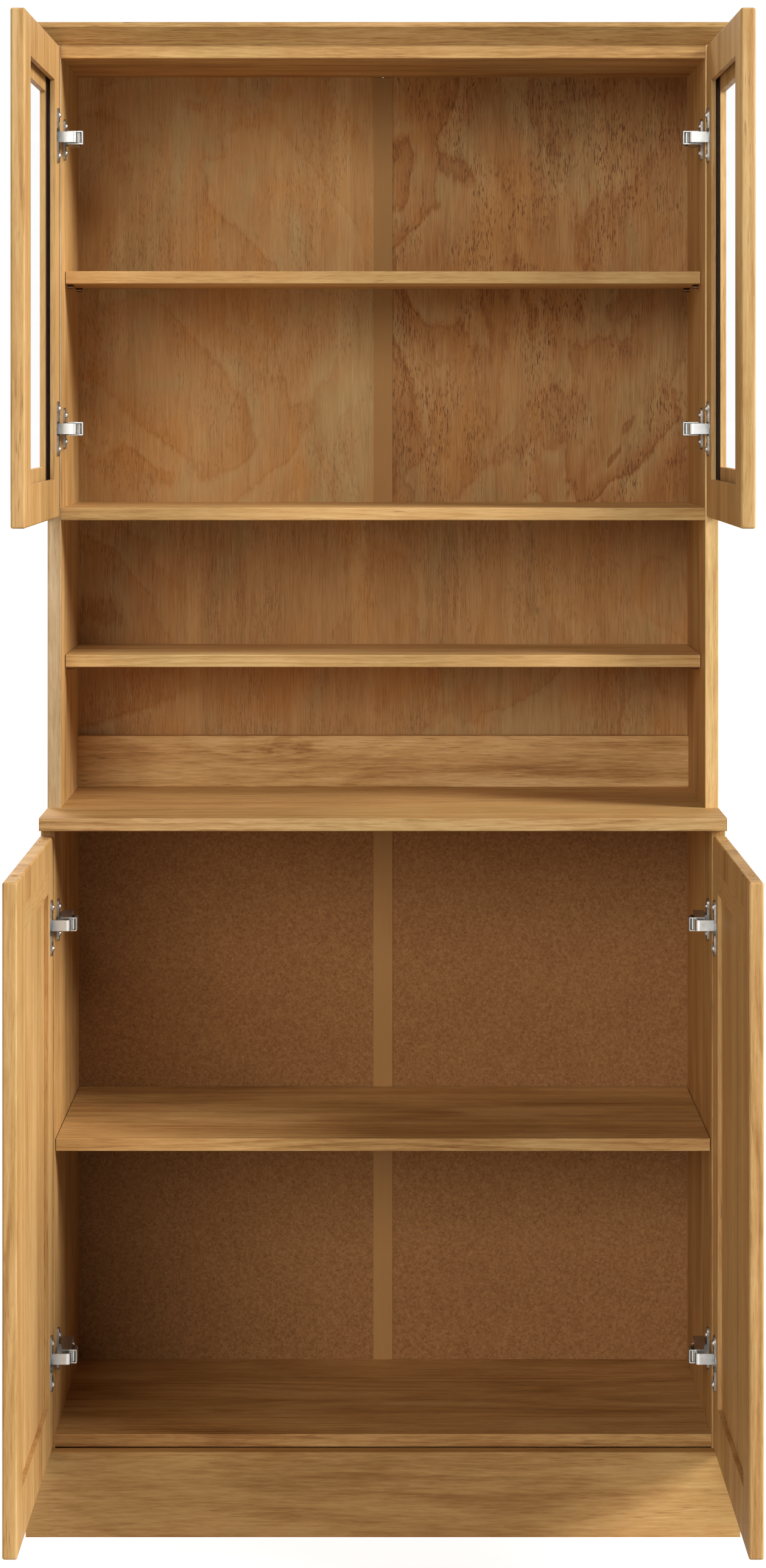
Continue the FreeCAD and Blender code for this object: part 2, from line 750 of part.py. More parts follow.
def door_stile(label, row, free):
    """An upright of the frame: three layers, the middle one cut back to hold the pane."""

    def across(text):
        return f"door_width - ({text})" if free else text

    lip = "upper_lip" if row == "upper" else "0"
    stile = f"{row}_stile"
    outer = f"{row}_outer_layer"
    inner = f"{row}_outer_layer + {row}_groove"
    points = [("0", "0"), (f"{stile} + {lip}", "0"), (f"{stile} + {lip}", outer),
              (f"{stile} - {row}_groove_depth", outer), (f"{stile} - {row}_groove_depth", inner),
              (stile, inner), (stile, "door_board"), ("0", "door_board")]
    body = door_body(label, row)
    sketch = new_sketch(body, "XY_Plane")
    add_outline(sketch, [(across(x), y) for x, y in points])
    shape = raise_pad(body, sketch, f"{row}_door_height").Shape
    side = "max" if free else "min"
    edges = edges_on(shape, "Z", x=side, y="min") + edges_on(shape, "Z", x=side, y="max")
    for end in ("min", "max"):
        edges += edges_on(shape, "X", y="min", z=end) + edges_on(shape, "X", y="max", z=end)
        edges += edges_on(shape, "Y", x=side, z=end)
    round_edges(body, "door_round", edges)
    return body


def door_rail(label, row, top):
    """A cross piece of the frame, with a tongue at each end for the stiles' grooves."""

    def up(text):
        return f"{row}_door_height - ({text})" if top else text

    lip = "upper_lip" if row == "upper" else "0"
    rail = f"{row}_rail"
    outer = f"{row}_outer_layer"
    inner = f"{row}_outer_layer + {row}_groove"
    points = [("0", "0"), ("door_board", "0"), ("door_board", rail), (inner, rail),
              (inner, f"{rail} - {row}_groove_depth"), (outer, f"{rail} - {row}_groove_depth"),
              (outer, f"{rail} + {lip}"), ("0", f"{rail} + {lip}")]
    body = door_body(label, row)
    sketch = new_sketch(body, "YZ_Plane", f"{row}_stile")
    add_outline(sketch, [(y, up(z)) for y, z in points])
    shape = raise_pad(body, sketch, f"door_width - {row}_stile * 2").Shape
    level = "max" if top else "min"
    edges = edges_on(shape, "X", y="min", z=level) + edges_on(shape, "X", y="max", z=level)
    round_edges(body, "door_round", edges)
    if row == "upper":
        ends = new_sketch(body, "XY_Plane")
        for near, far in ((f"{row}_stile - cut_over", f"{row}_stile + {lip}"),
                          (f"door_width - {row}_stile - {lip}", f"door_width - {row}_stile + cut_over")):
            add_box(ends, (near, "-cut_over"), (far, outer))
        sink_pocket(body, ends, f"{row}_door_height", True)
    tongue = f"{row}_groove_depth - pane_gap"
    tongues = new_sketch(body, "YZ_Plane", f"{row}_stile - ({tongue})")
    add_box(tongues, (f"{outer} + tongue_play", up("tongue_inset")),
            (f"{inner} - tongue_play", up(f"{rail} - {row}_groove_depth")))
    raise_pad(body, tongues, f"door_width - ({row}_stile - ({tongue})) * 2")
    return body


def door_pane(label, row):
    """The glass or the wooden panel, held in the grooves on all four sides."""
    body = door_body(label, row)
    edge = f"{row}_stile - {row}_groove_depth + pane_gap"
    front = f"{row}_outer_layer + ({row}_groove - {row}_pane) / 2"
    foot = f"{row}_rail - {row}_groove_depth + pane_gap"
    sketch = new_sketch(body, "XY_Plane", foot)
    add_box(sketch, (edge, front), (f"door_width - ({edge})", f"{front} + {row}_pane"))
    raise_pad(body, sketch, f"{row}_door_height - ({foot}) * 2")
    return body


def drill_hinge_stile(body, row):
    """Blind bores for the two hinge cups and their screws, from the inner face."""
    heights = ("hinge_inset", f"{row}_door_height - {row}_hinge_drop")
    cups = [("cup_centre + axis_from_edge", height) for height in heights]
    drill(body, "XZ_Plane", "-door_board", cups, "cup_radius + cup_play", "cup_depth + cup_play", True)
    screws = [("wing_line + axis_from_edge", f"{height} {sign} wing_screw_spacing / 2")
              for height in heights for sign in "+-"]
    drill(body, "XZ_Plane", "-door_board", screws, "screw_bore", "screw_depth - wing_plate", True)


for row, pane in (("upper", "glass"), ("lower", "panel")):
    names = {side: f"{row}_{side}" for side in ("left", "right")}
    hinge_stile = door_stile(f"{names['left']}_hinge_stile", row, False)
    drill_hinge_stile(hinge_stile, row)
    mirror(hinge_stile, f"{names['right']}_hinge_stile")
    mirror(door_stile(f"{names['left']}_free_stile", row, True), f"{names['right']}_free_stile")
    for rail, top in (("top_rail", True), ("bottom_rail", False)):
        mirror(door_rail(f"{names['left']}_{rail}", row, top), f"{names['right']}_{rail}")
    mirror(door_pane(f"{names['left']}_{pane}", row), f"{names['right']}_{pane}")


# Concealed hinge, drawn about its pin with the door closed: the cup turns with the door,
# and the link, arm and mounting plate stay on the side.

def cup_pattern():
    """A drilled-in cup with two screw wings and two cheeks that carry the pin."""
    body = new_body("hinge_cup_pattern", kept=False)
    shell = new_sketch(body, "XZ_Plane", "-axis_in_door - cup_rim")
    add_circles(shell, [("cup_centre", "0")], "cup_radius")
    pad = raise_pad(body, shell, "cup_depth + cup_rim")
    rim = edge_near(pad.Shape, ("cup_centre", "cup_floor", "0"))
    round_edges(body, "cup_wall", [rim])
    wings = new_sketch(body, "XZ_Plane", "-axis_in_door")
    add_box(wings, ("wing_line - wing_width / 2", "-wing_length / 2"),
            ("wing_line + wing_width / 2", "wing_length / 2"))
    shape = raise_pad(body, wings, "wing_plate", True).Shape
    corners = edges_on(shape, "Y", z="min") + edges_on(shape, "Y", z="max")
    round_edges(body, "wing_round", corners)
    hollow = new_sketch(body, "XZ_Plane", "-wing_top")
    add_circles(hollow, [("cup_centre", "0")], "cup_inner")
    sink_pocket(body, hollow, "wing_plate + cup_depth - cup_wall", True)
    for low in ("cheek_inner", "-cheek_outer"):
        cheek = new_sketch(body, "XY_Plane", low)
        add_box(cheek, ("-cheek_back", "cup_floor + cup_wall / 2"),
                ("cheek_front", "cheek_back + pin_radius"))
        raise_pad(body, cheek, "cheek_thickness")
    drill(body, "XY_Plane", "-wing_width", [("0", "0")], "pin_radius + pin_play", "wing_width * 2", True)
    places = [("wing_line", f"{sign}wing_screw_spacing / 2") for sign in ("", "-")]
    drill(body, "XZ_Plane", "-wing_top", places, "screw_bore", "wing_plate", True)
    return body


def link_pattern():
    """The cranked link between the pin and the arm, with a knuckle and two riveted eyes."""
    body = new_body("hinge_link_pattern", kept=False)
    strap = new_sketch(body, "XY_Plane", "-link_height / 2")
    high = "link_plate - link_low"
    tail = "axis_forward + link_tail - arm_front_gap"
    jog_start = "wing_top + link_jog_start"
    jog_end = "wing_top + link_jog_end"
    add_outline(strap, [("0", "-link_low"), ("link_bend_reach", "-link_low"),
                        ("link_bend_reach", jog_start), ("link_reach", jog_end), ("link_reach", tail),
                        ("link_reach - link_plate", tail), ("link_reach - link_plate", jog_end),
                        ("link_bend_reach - link_plate", jog_start),
                        ("link_bend_reach - link_plate", high), ("0", high)])
    raise_pad(body, strap, "link_height")
    for corner, radius in ((("link_bend_reach", "-link_low", "0"), "link_bend"),
                           (("link_bend_reach - link_plate", high, "0"), "link_bend - link_plate")):
        round_edges(body, radius, [edge_near(body.Tip.Shape, corner)])
    for lift in ("link_neck_height / 2", "-link_height / 2 - cut_over"):
        neck = new_sketch(body, "XY_Plane", lift)
        add_box(neck, ("-link_low", "-link_low * 2"), ("link_neck_length", "link_low * 2"))
        sink_pocket(body, neck, "(link_height - link_neck_height) / 2 + cut_over", True)
    knuckle = new_sketch(body, "XY_Plane", "-link_neck_height / 2")
    add_circles(knuckle, [("0", "0")], "knuckle_radius")
    raise_pad(body, knuckle, "link_neck_height")
    eyes = new_sketch(body, "XY_Plane", "-link_height / 2")
    rivets = [("leg_middle", "rivet_line"), ("leg_middle", "rivet_line + rivet_pitch")]
    add_circles(eyes, rivets, "eye_radius")
    raise_pad(body, eyes, "link_height")
    drill(body, "XY_Plane", "-link_height", rivets, "rivet_radius + bore_play", "link_height * 2", True)
    drill(body, "XY_Plane", "-link_height", [("0", "0")], "pin_radius", "link_height * 2", True)
    return body


def arm_outline(drop, over):
    """The cranked side of the arm, dropped towards the side and run past both ends for its hollow."""
    front = f"arm_front - {over}"
    start = "arm_front + arm_crank_start"
    end = "arm_front + arm_crank_end"
    back = f"arm_back + {over}"
    top = [("arm_top_front", front), ("arm_top_front", start),
           ("arm_top_back", end), ("arm_top_back", back)]
    foot = [(line.replace("top", "foot"), depth) for line, depth in reversed(top)]
    return [(f"{line} - {drop}", depth) for line, depth in top + foot]


def arm_pattern():
    """The hinge arm: a cranked channel, open towards the side, with holes for rivets and screws."""
    body = new_body("hinge_arm_pattern", kept=False)
    outside = new_sketch(body, "XY_Plane", "-arm_height / 2")
    add_outline(outside, arm_outline("0", "0"))
    raise_pad(body, outside, "arm_height")
    bends = [(line, depth) for line, depth in arm_outline("0", "0") if line.startswith("arm_top")]
    for level in ("arm_height / 2", "-arm_height / 2"):
        spots = [(f"({x} + {next_x}) / 2", f"({y} + {next_y}) / 2", level)
                 for (x, y), (next_x, next_y) in zip(bends, bends[1:])]
        round_edges(body, "arm_round", [edge_near(body.Tip.Shape, spot) for spot in spots])
    hollow = new_sketch(body, "XY_Plane", "arm_wall - arm_height / 2")
    add_outline(hollow, arm_outline("arm_wall", "cut_over"))
    sink_pocket(body, hollow, "arm_height - arm_wall * 2", True)
    rivets = [("leg_middle", "rivet_line"), ("leg_middle", "rivet_line + rivet_pitch")]
    drill(body, "XY_Plane", "-arm_height", rivets, "rivet_radius + bore_play", "arm_height * 2", True)
    drill(body, "YZ_Plane", "arm_top_back", arm_screw_places(), "screw_bore", "arm_wall")
    return body


def arm_screw_places():
    """Depth and height of the two screws through the arm's web."""
    return [("arm_screw_line", "0"), ("arm_screw_line + arm_screw_pitch", "0")]


def plate_pattern():
    """The mounting plate: two screw wings on the side and a saddle that fills the arm."""
    body = new_body("hinge_plate_pattern", kept=False)
    wings = new_sketch(body, "YZ_Plane", "side_face")
    add_box(wings, ("plate_middle - plate_wing_width / 2", "-plate_wing_length / 2"),
            ("plate_middle + plate_wing_width / 2", "plate_wing_length / 2"))
    shape = raise_pad(body, wings, "plate_wing").Shape
    corners = edges_on(shape, "X", z="min") + edges_on(shape, "X", z="max")
    round_edges(body, "plate_wing_round", corners)
    saddle = new_sketch(body, "YZ_Plane", "side_face")
    half = "arm_height / 2 - arm_wall - saddle_play"
    add_box(saddle, ("saddle_start", f"-({half})"), ("saddle_start + saddle_length", half))
    raise_pad(body, saddle, "saddle_top - side_face")
    drill(body, "YZ_Plane", "saddle_top", arm_screw_places(), "screw_bore", "screw_depth")
    places = [("plate_middle", f"{sign}plate_screw_spacing / 2") for sign in ("", "-")]
    drill(body, "YZ_Plane", "side_face + plate_wing", places, "screw_bore", "plate_wing")
    return body


cup = cup_pattern()
link = link_pattern()
arm = arm_pattern()
plate = plate_pattern()

SIDES = {"left": ("-", "+"), "right": ("", "-")}
CLOSED = {"left": FreeCAD.Rotation(), "right": turned(("Y", HALF_TURN))}
OPENED = {"left": turned(("Z", -QUARTER_TURN)), "right": turned(("Y", HALF_TURN), ("Z", QUARTER_TURN))}
INWARDS = {"left": turned(("Y", QUARTER_TURN)), "right": turned(("Y", -QUARTER_TURN))}
UPRIGHT = FreeCAD.Rotation()


def hinge_point(side, row, height, x, y, z):
    """A place of a hinge's piece in the buffet's frame, mirrored on the right-hand side."""
    outward, inward = SIDES[side]
    return (f"{outward}axis_x {inward} ({x})", f"{row}_axis_y + {y}", f"{height} + {z}")


plates = []
arms = []
links = []
pins = []
fixed_screws = []
for row, heights in (("upper", UPPER_HINGES), ("lower", LOWER_HINGES)):
    for side in SIDES:
        cups = []
        cup_screws = []
        for height in heights:
            pivot = hinge_point(side, row, height, "0", "0", "0")
            plates.append((plate, pivot, CLOSED[side]))
            arms.append((arm, pivot, CLOSED[side]))
            links.append((link, pivot, CLOSED[side]))
            cups.append((cup, pivot, OPENED[side]))
            pins.append((hinge_pin, pivot, UPRIGHT))
            for step in ("0", "rivet_pitch"):
                spot = hinge_point(side, row, height, "leg_middle", f"rivet_line + {step}", "0")
                pins.append((rivet, spot, UPRIGHT))
            for sign in "+-":
                spot = hinge_point(side, row, f"{height} {sign} plate_screw_spacing / 2",
                                   "side_face + plate_wing", "plate_middle", "0")
                fixed_screws.append((screw, spot, INWARDS[side]))
                spot = hinge_point(side, row, f"{height} {sign} wing_screw_spacing / 2",
                                   "wing_top", "(-wing_line)", "0")
                cup_screws.append((screw, spot, INWARDS[side]))
            for depth, level in arm_screw_places():
                spot = hinge_point(side, row, height, "arm_top_back", depth, level)
                fixed_screws.append((screw, spot, INWARDS[side]))
        copies(f"{row}_{side}_hinge_cups", cups)
        copies(f"{row}_{side}_cup_screws", cup_screws)
copies("hinge_mounting_plates", plates)
copies("hinge_arms", arms)
copies("hinge_links", links)
copies("hinge_pins_and_rivets", pins)
copies("hinge_screws", fixed_screws)


# Shelf pegs and dowels, in pairs on the left and the right

def on_both_sides(pattern, across, rows):
    """Copies of a round peg along X at each depth and height, on both sides."""
    return [(pattern, (f"{sign}({across})", depth, level), INWARDS[side])
            for depth, level in rows for side, (sign, _) in SIDES.items()]


copies("shelf_pegs", on_both_sides(shelf_peg, "peg_middle", base_pegs + hutch_pegs))

dowels = on_both_sides(dowel, "dowel_middle", base_dowels + hutch_dowels)
for front_dowel, middle in (("base_dowel_front", "base_height + dowel_in_top - dowel_length / 2"),
                            ("hutch_dowel_front", "countertop_top - dowel_in_top + dowel_length / 2")):
    for sign, _ in SIDES.values():
        for depth in (front_dowel, "dowel_back"):
            dowels.append((dowel, (f"{sign}side_middle", depth, middle), UPRIGHT))
copies("dowels", dowels)

doc.recompute()
for item in doc.Objects:
    if "Invalid" in item.State or "Error" in item.State:
        raise ValueError(f"{item.Label} failed: {item.State}")
for item in subparts:
    if item.Shape.isNull() or not item.Shape.isValid() or not item.Shape.Solids:
        raise ValueError(f"{item.Label} has no valid solid")

os.makedirs("parts", exist_ok=True)
for item in subparts:
    item.Shape.exportStep(f"parts/{item.Label}.step")
print(len(subparts), "sub-parts")
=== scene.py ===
import math
from collections import namedtuple

import bpy
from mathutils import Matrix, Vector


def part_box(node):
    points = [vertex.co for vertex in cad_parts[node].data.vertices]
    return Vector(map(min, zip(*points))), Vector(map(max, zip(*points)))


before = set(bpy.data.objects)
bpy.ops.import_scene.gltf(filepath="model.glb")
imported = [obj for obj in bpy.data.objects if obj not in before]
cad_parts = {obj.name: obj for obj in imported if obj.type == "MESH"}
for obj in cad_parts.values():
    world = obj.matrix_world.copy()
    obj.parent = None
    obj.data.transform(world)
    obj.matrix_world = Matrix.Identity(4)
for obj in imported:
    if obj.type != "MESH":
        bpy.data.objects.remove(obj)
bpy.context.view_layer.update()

# The looks of a kitchen buffet with a glazed hutch: wood, metal and glass for the CAD's pieces, a floor,
# lamps and a camera. No shape is added to the CAD's.


# ---------------------------------------------------------------- node helpers

class Net:
    """Short calls for adding nodes to a material or a node group."""

    def __init__(self, tree):
        self.tree = tree

    def put(self, socket, value):
        """Join another node's output to a socket, or set the socket to a plain value."""
        if isinstance(value, bpy.types.NodeSocket):
            self.tree.links.new(value, socket)
        elif value is not None:
            socket.default_value = value

    def add(self, kind, inputs=(), **settings):
        """Add a node, with what its inputs take and its own settings."""
        node = self.tree.nodes.new(kind)
        for name, value in settings.items():
            setattr(node, name, value)
        for name, value in dict(inputs).items():
            self.put(node.inputs[name], value)
        return node

    def math(self, operation, a, b=None, c=None, clamp=False):
        """One step of arithmetic on one, two or three numbers."""
        node = self.add("ShaderNodeMath", operation=operation, use_clamp=clamp)
        for place, value in enumerate((a, b, c)):
            self.put(node.inputs[place], value)
        return node.outputs[0]

    def effect(self, group, vector, dials):
        """A shared effect's outputs; dials are the group's own inputs."""
        return self.add("ShaderNodeGroup", {"Vector": vector, **dials}, node_tree=group).outputs

    def vector_math(self, operation, a, b):
        """One step of arithmetic on two vectors."""
        node = self.add("ShaderNodeVectorMath", operation=operation)
        self.put(node.inputs[0], a)
        self.put(node.inputs[1], b)
        return node.outputs[0]

    def scaled(self, vector, factors):
        """A vector with each axis stretched by its own factor."""
        return self.vector_math("MULTIPLY", vector, factors)

    def length(self, vector):
        """A vector's length."""
        node = self.add("ShaderNodeVectorMath", operation="LENGTH")
        self.put(node.inputs[0], vector)
        return node.outputs["Value"]

    def noise(self, vector, factors, detail=2.0, roughness=0.5, distortion=0.0, color=False):
        """Cloudy noise; factors are how many grains there are to the metre, along each axis."""
        node = self.add("ShaderNodeTexNoise", {"Vector": self.scaled(vector, factors), "Scale": 1.0,
                                               "Detail": detail, "Roughness": roughness,
                                               "Distortion": distortion})
        return node.outputs["Color" if color else "Fac"]

    def band(self, value, low, high, to_low=0.0, to_high=1.0):
        """A soft step from to_low where the value is low to to_high where it is high."""
        node = self.add("ShaderNodeMapRange", {"Value": value, "From Min": low, "From Max": high,
                                               "To Min": to_low, "To Max": to_high},
                        interpolation_type="SMOOTHSTEP")
        return node.outputs["Result"]

    def mix(self, factor, a, b, blend="MIX"):
        """Blend colour b over colour a; either may be three plain numbers."""
        a, b = (value if isinstance(value, bpy.types.NodeSocket) else (*value, 1.0) for value in (a, b))
        node = self.add("ShaderNodeMix", data_type="RGBA", blend_type=blend)
        self.put(node.inputs["Factor"], factor)
        self.put(node.inputs["A"], a)
        self.put(node.inputs["B"], b)
        return node.outputs["Result"]

    def layered(self, tone, layers):
        """Add layers to a tone: each is a value, the middle that changes nothing, and its weight."""
        for layer, middle, weight in layers:
            tone = self.math("MULTIPLY_ADD", self.math("SUBTRACT", layer, middle), weight, tone)
        return tone

    def ramp(self, factor, stops):
        """Colours along a factor; stops are pairs of a place from 0 to 1 and three numbers."""
        node = self.add("ShaderNodeValToRGB")
        self.put(node.inputs["Fac"], factor)
        elements = node.color_ramp.elements
        while len(elements) < len(stops):
            elements.new(0.5)
        for element, (place, color) in zip(elements, stops):
            element.position = place
            element.color = (*color, 1.0)
        return node.outputs["Color"]

    def parts(self, vector):
        """A vector's three values."""
        node = self.add("ShaderNodeSeparateXYZ", {"Vector": vector})
        return node.outputs["X"], node.outputs["Y"], node.outputs["Z"]


def new_group(name, inputs, outputs):
    """A new effect group: its tree, its net, what it is given and what it gives out.

    inputs are (name, socket type, default), and outputs (name, socket type).
    """
    tree = bpy.data.node_groups.new(name, "ShaderNodeTree")
    for label, kind, default in inputs:
        socket = tree.interface.new_socket(label, in_out="INPUT", socket_type=kind)
        if default is not None:
            socket.default_value = default
    for label, kind in outputs:
        tree.interface.new_socket(label, in_out="OUTPUT", socket_type=kind)
    source = tree.nodes.new("NodeGroupInput")
    sink = tree.nodes.new("NodeGroupOutput")
    return tree, Net(tree), source.outputs, sink.inputs


FLOAT = "NodeSocketFloat"
COLOR = "NodeSocketColor"
VECTOR = "NodeSocketVector"
EFFECTS = [("Color", COLOR), ("Roughness", FLOAT), ("Height", FLOAT)]


# ---------------------------------------------------------------- shared effects
# Every wood group takes its vector in metres, with the grain along Z

RINGS_PER_METRE = 150.0
STAVES_PER_METRE = 24.0
STAVE_SPREAD = 0.13
# In stave widths from a stave's middle: where the dark joint starts, and where it is full
STAVE_JOINT = (0.484, 0.496)
# How far a knot pushes the rings apart
KNOT_SWELL = 0.016


def pine_group():
    """Honey-coloured pine: cloudy patches, soft rings, streaks, fine grain, short pores and rare specks.

    Tone makes it lighter. Rings, Stripes, Patches, Pores, Olive and Staves are how strongly each of them
    shows. Knot is the middle of one knot, which spreads over Knot Size.
    """
    tree, net, given, out = new_group("honey_pine", [
        ("Vector", VECTOR, None), ("Tone", FLOAT, 0.0), ("Rings", FLOAT, 1.0), ("Stripes", FLOAT, 1.0),
        ("Patches", FLOAT, 1.0), ("Pores", FLOAT, 1.0), ("Olive", FLOAT, 1.0),
        ("Knot", VECTOR, (0.0, 0.0, 0.0)), ("Knot Size", FLOAT, 0.001), ("Staves", FLOAT, 0.0)], EFFECTS)
    place = given["Vector"]
    # Slow bends in the grain, which swells around the knot
    drift = net.noise(place, (4.0, 4.0, 1.1), 2.0, 0.5, color=True)
    drift = net.vector_math("ADD", drift, (-0.5, -0.5, -0.5))
    bent = net.vector_math("ADD", place, net.scaled(drift, (0.05, 0.05, 0.0)))
    reach = net.length(net.scaled(net.vector_math("SUBTRACT", place, given["Knot"]), (1.0, 1.0, 0.30)))
    reach = net.math("DIVIDE", reach, given["Knot Size"])
    swell = net.math("EXPONENT", net.math("MULTIPLY", net.math("MULTIPLY", reach, reach), -0.35))
    x, y, _ = net.parts(bent)
    across = net.math("SQRT", net.math("ADD", net.math("MULTIPLY", x, x), net.math("MULTIPLY", y, y)))
    across = net.math("MULTIPLY_ADD", swell, KNOT_SWELL, across)
    phase = net.math("FRACT", net.math("MULTIPLY", across, RINGS_PER_METRE))
    ring = net.math("MULTIPLY", net.band(phase, 0.1, 0.85), net.band(phase, 1.0, 0.85))
    fade = net.noise(place, (17.0, 17.0, 2.2), 3.0, 0.6)
    ring = net.math("MULTIPLY", ring, net.band(fade, 0.42, 0.66, 0.1, 1.0))
    # Stripes, streaks and fibres run along the grain, from broad to fine
    stripes = net.noise(place, (42.0, 42.0, 0.8), 3.0, 0.6)
    streaks = net.noise(bent, (190.0, 190.0, 5.0), 5.0, 0.66)
    fibres = net.noise(place, (430.0, 430.0, 28.0), 4.0, 0.7)
    patches = net.noise(bent, (17.0, 17.0, 4.6), 4.0, 0.55, 0.5)
    tone = net.math("ADD", 0.53, given["Tone"])
    # The knot's dark middle, with a cloudy rim
    cloudy = net.noise(place, (70.0, 70.0, 24.0), 3.0, 0.6)
    knot = net.math("MULTIPLY", net.band(reach, 1.25, 0.25), net.band(cloudy, 0.34, 0.56))
    tone = net.math("MULTIPLY_ADD", knot, -0.34, tone)
    # Glued staves: each a little lighter or darker, with a dark joint between them
    stave = net.math("MULTIPLY", net.parts(place)[1], STAVES_PER_METRE)
    seam = net.math("ABSOLUTE", net.math("SUBTRACT", net.math("FRACT", stave), 0.5))
    shade = net.add("ShaderNodeTexWhiteNoise", {"W": net.math("FLOOR", stave)}, noise_dimensions="1D")
    shade = net.math("MULTIPLY", net.math("SUBTRACT", shade.outputs["Value"], 0.5), STAVE_SPREAD)
    shade = net.math("MULTIPLY_ADD", net.band(seam, *STAVE_JOINT), -0.16, shade)
    tone = net.math("MULTIPLY_ADD", shade, given["Staves"], tone)
    # Each layer adds to the tone by its weight and its dial
    for layer, middle, weight, dial in ((ring, 0.25, -0.20, "Rings"), (stripes, 0.5, 0.42, "Stripes"),
                                        (streaks, 0.5, 0.34, "Stripes"), (patches, 0.5, 0.70, "Patches"),
                                        (fibres, 0.5, 0.62, "Pores")):
        part = net.math("MULTIPLY", net.math("SUBTRACT", layer, middle), weight)
        tone = net.math("MULTIPLY_ADD", part, given[dial], tone)
    color = net.ramp(tone, [(0.0, (0.205, 0.084, 0.024)), (0.28, (0.370, 0.178, 0.054)),
                            (0.5, (0.535, 0.294, 0.102)), (0.72, (0.660, 0.398, 0.158)),
                            (1.0, (0.79, 0.53, 0.25))])
    # Olive clouds
    tint = net.noise(place, (8.0, 8.0, 3.0), 3.0, 0.55)
    tint = net.math("MULTIPLY", net.band(tint, 0.40, 0.68), given["Olive"])
    color = net.mix(net.math("MULTIPLY", tint, 0.45), color, (0.84, 0.96, 0.92), "MULTIPLY")
    # Short dark pores, in groups
    pore = net.noise(bent, (620.0, 620.0, 34.0), 1.0, 0.5)
    gate = net.noise(place, (34.0, 34.0, 9.0), 3.0, 0.6)
    pore = net.math("MULTIPLY", net.band(pore, 0.60, 0.74), net.band(gate, 0.40, 0.66, 0.12, 1.0))
    pore = net.math("MULTIPLY", pore, given["Pores"])
    color = net.mix(net.math("MULTIPLY", pore, 0.5), color, (0.20, 0.082, 0.026))
    # Dark specks, in about one cell of 25
    cells = net.add("ShaderNodeTexVoronoi", {"Vector": net.scaled(place, (55.0, 55.0, 30.0)),
                                             "Scale": 1.0})
    rare, _, _ = net.parts(cells.outputs["Color"])
    speck = net.math("MULTIPLY", net.band(cells.outputs["Distance"], 0.075, 0.03),
                     net.band(rare, 0.955, 0.96))
    color = net.mix(net.math("MULTIPLY", speck, 0.75), color, (0.085, 0.032, 0.012))
    net.put(out["Color"], color)
    net.put(out["Roughness"], net.math("MULTIPLY_ADD", streaks, 0.18, 0.47))
    relief = net.math("MULTIPLY_ADD", fibres, 0.35, net.math("MULTIPLY", streaks, 0.5))
    net.put(out["Height"], net.math("MULTIPLY_ADD", pore, -0.5, relief))
    return tree


# How many growth edges a metre of width adds, and how many the slow field and the fine ragging add
VENEER_SLOPE = 1.0
VENEER_CONTOURS = 8.0
VENEER_RAGS = 0.55


